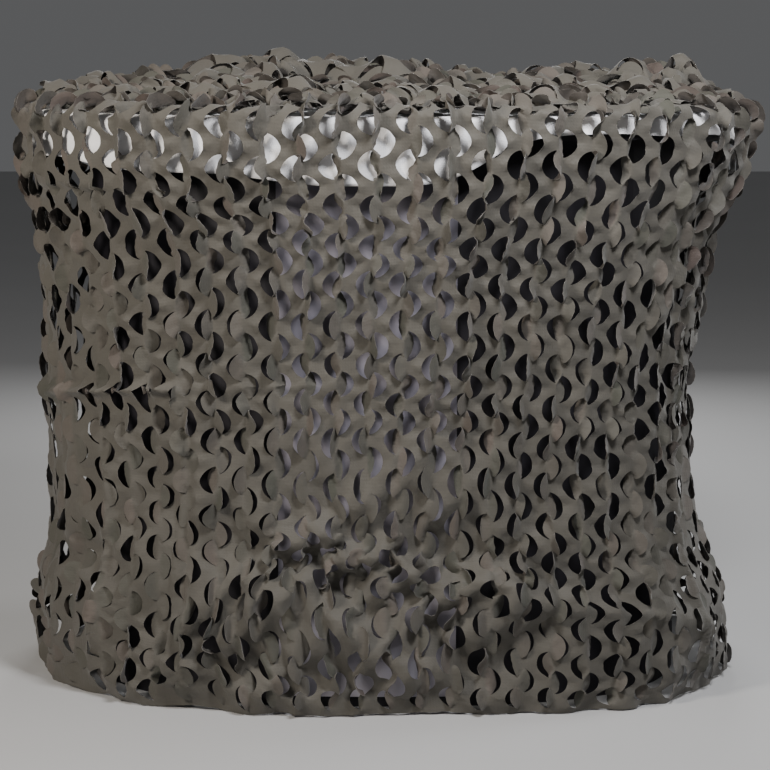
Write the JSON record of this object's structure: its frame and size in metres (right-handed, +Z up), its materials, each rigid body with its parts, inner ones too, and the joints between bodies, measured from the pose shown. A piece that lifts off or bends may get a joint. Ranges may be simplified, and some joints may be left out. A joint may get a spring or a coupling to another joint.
{
  "type": "camouflage net over an oval counter",
  "caption": "Incised garnish net draped over a white cloth and an oval bar-height counter, drawn in at the waist and flared to the floor, with spare net crumpled on top.",
  "frame": {"origin": "on the floor, under the middle of the net's outline", "axes": "+X to the right along the counter's length, -Y towards the front, +Z up"},
  "size_m": [1.4, 0.9322, 1.1673],
  "materials": {
    "net": "matt woven garnish cloth with curled C-shaped cuts, taupe",
    "cloth": "plain white woven cloth, softly creased",
    "board": "matt black laminate",
    "body": "matt black laminate",
    "panel": "matt mid-grey sheet"
  },
  "bodies": {
    "root": {"camo_net": "net", "top_cloth": "cloth", "counter_top": "board", "counter_body": "body", "front_panel": "panel"}
  },
  "joints": []
}
